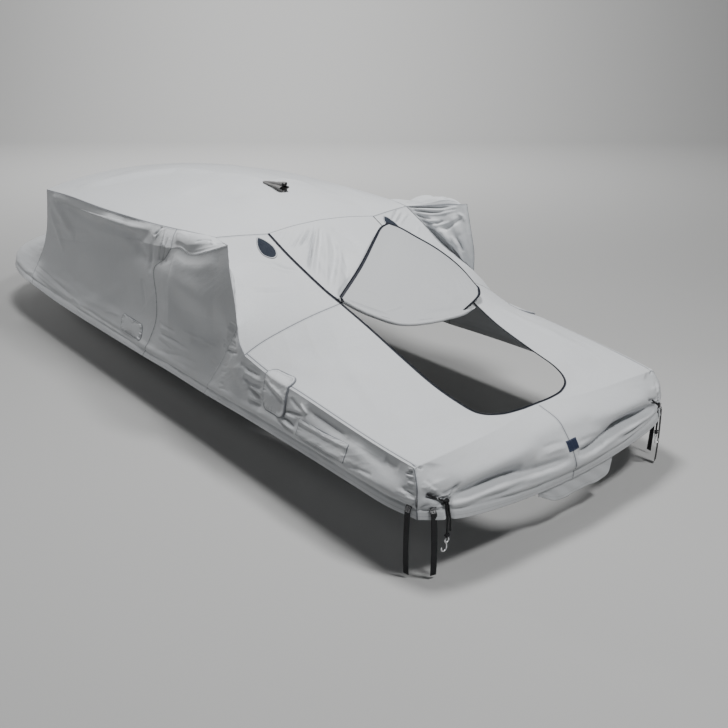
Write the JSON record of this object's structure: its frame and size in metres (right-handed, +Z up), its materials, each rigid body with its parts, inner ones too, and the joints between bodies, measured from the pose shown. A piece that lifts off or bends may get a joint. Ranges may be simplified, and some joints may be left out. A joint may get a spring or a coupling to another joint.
{
  "type": "boat cover",
  "caption": "Fitted cloth cover for a tow boat with a tower: sewn grey panels, vented ears over the tower, and a zipped stern hatch folded back over the slope.",
  "frame": {"origin": "the point under the roof where the tower, which is left out, holds the cover up", "axes": "+X to starboard, +Y towards the bow, +Z up"},
  "size_m": [2.5843, 7.802, 1.7441],
  "materials": {
    "silver_canvas": "matte coated woven cloth, light silver grey",
    "navy_zip": "woven zip tape with moulded teeth, navy",
    "navy_mesh": "navy mesh and plain navy patch",
    "black_webbing": "woven black webbing",
    "black_cord": "braided black cord",
    "chrome_wire": "polished wire"
  },
  "bodies": {
    "root": {"bow_panel": "silver_canvas", "hatch": "silver_canvas", "hatch_zip": "navy_zip", "label_patch": "navy_mesh", "light_sock": "silver_canvas", "opening_zip": "navy_zip", "port_chafe_patch": "silver_canvas", "port_cleat_patch": "silver_canvas", "port_deck_panel": "silver_canvas", "port_ear_back": "silver_canvas", "port_ear_top": "silver_canvas", "port_flap_pocket": "silver_canvas", "port_front_wall": "silver_canvas", "port_leg_panel": "silver_canvas", "port_side_strap": "black_webbing", "port_skirt": "silver_canvas", "port_slope_panel": "silver_canvas", "port_stern_strap": "black_webbing", "port_tie_hook": "chrome_wire", "port_tie_rope": "black_cord", "port_tie_tail": "black_cord", "port_vent": "navy_mesh", "port_vent_rim": "silver_canvas", "port_zip": "navy_zip", "roof": "silver_canvas", "starboard_chafe_patch": "silver_canvas", "starboard_cleat_patch": "silver_canvas", "starboard_deck_panel": "silver_canvas", "starboard_ear_back": "silver_canvas", "starboard_ear_top": "silver_canvas", "starboard_flap_pocket": "silver_canvas", "starboard_front_wall": "silver_canvas", "starboard_leg_panel": "silver_canvas", "starboard_side_strap": "black_webbing", "starboard_skirt": "silver_canvas", "starboard_slope_panel": "silver_canvas", "starboard_stern_strap": "black_webbing", "starboard_tie_hook": "chrome_wire", "starboard_tie_rope": "black_cord", "starboard_tie_tail": "black_cord", "starboard_vent": "navy_mesh", "starboard_vent_rim": "silver_canvas", "starboard_zip": "navy_zip", "stern_tongue": "silver_canvas"}
  },
  "joints": []
}
